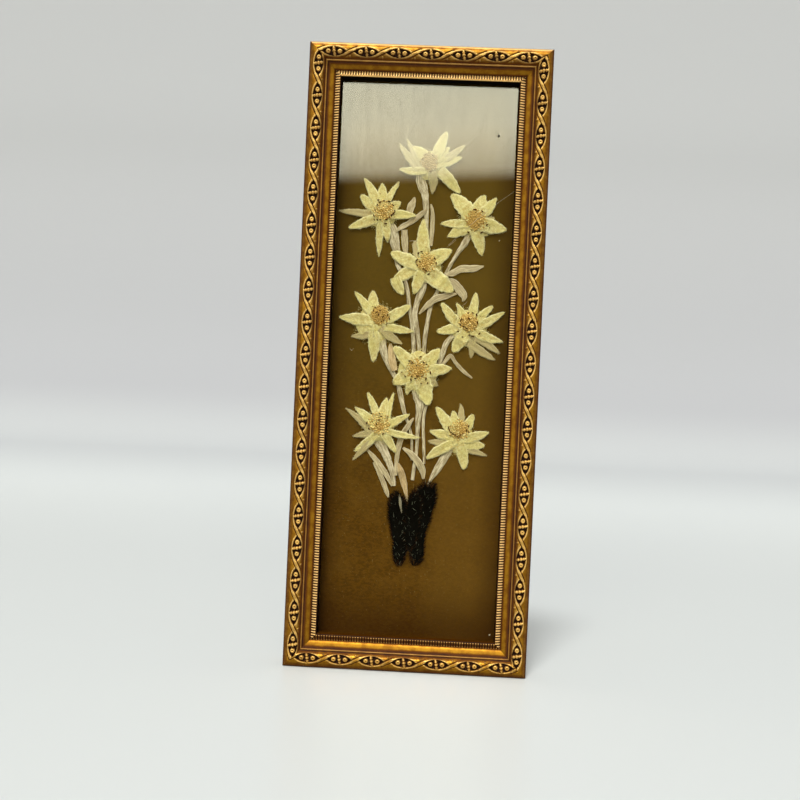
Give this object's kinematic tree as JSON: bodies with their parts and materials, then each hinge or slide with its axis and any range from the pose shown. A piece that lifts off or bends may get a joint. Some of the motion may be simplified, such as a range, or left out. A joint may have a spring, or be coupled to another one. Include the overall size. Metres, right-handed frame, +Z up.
{
  "type": "pressed flower frame",
  "caption": "Narrow upright gilt picture frame with pressed edelweiss, leaves and dark moss sprigs behind glass on brown velvet, hung on a wall by a toothed plate.",
  "frame": {"origin": "middle of the frame's width and depth, at its lowest edge", "axes": "+Z up the height of the frame, +X to the right as seen from the front, -Y out of the glass towards the viewer"},
  "size_m": [0.1334, 0.0238, 0.3429],
  "materials": {
    "gilt": "carved and gilded, with dark brown patina in the recesses",
    "glass": "clear, polished, with a fine scratch and dust specks",
    "velvet": "brown velvet, short pile, with lint",
    "board": "plain grey-brown board",
    "brass": "thin plated sheet, slightly dulled",
    "bract": "dry woolly felt, cream-yellow with paler edges",
    "disc": "dry florets, tan with dark brown specks",
    "stem": "dry, downy, streaked along its length",
    "leaf": "dry, downy, with a pale edge",
    "moss": "black needles with small pale glints and brown edges"
  },
  "bodies": {
    "root": {"rail_top": "gilt", "rail_bottom": "gilt", "rail_left": "gilt", "rail_right": "gilt", "glass_pane": "glass", "velvet_mount": "velvet", "backing_board": "board", "hanger_plate": "brass", "hanger_nail_left": "brass", "hanger_nail_right": "brass", "flower_1": "bract", "flower_2": "bract", "flower_3": "bract", "flower_4": "bract", "flower_5": "bract", "flower_6": "bract", "flower_7": "bract", "flower_8": "bract", "flower_9": "bract", "disc_1": "disc", "disc_2": "disc", "disc_3": "disc", "disc_4": "disc", "disc_5": "disc", "disc_6": "disc", "disc_7": "disc", "disc_8": "disc", "disc_9": "disc", "stem_1": "stem", "stem_2": "stem", "stem_3": "stem", "stem_4": "stem", "stem_5": "stem", "stem_6": "stem", "stem_7": "stem", "stem_8": "stem", "stem_9": "stem", "leaf_a": "leaf", "leaf_b": "leaf", "leaf_c": "leaf", "leaf_d": "leaf", "leaf_e": "leaf", "leaf_f": "leaf", "leaf_g": "leaf", "leaf_h": "leaf", "leaf_i": "leaf", "leaf_j": "leaf", "leaf_k": "leaf", "leaf_l": "leaf", "leaf_m": "leaf", "leaf_n": "leaf", "leaf_p": "leaf", "moss_left": "moss", "moss_right": "moss", "moss_middle": "moss"}
  },
  "joints": []
}
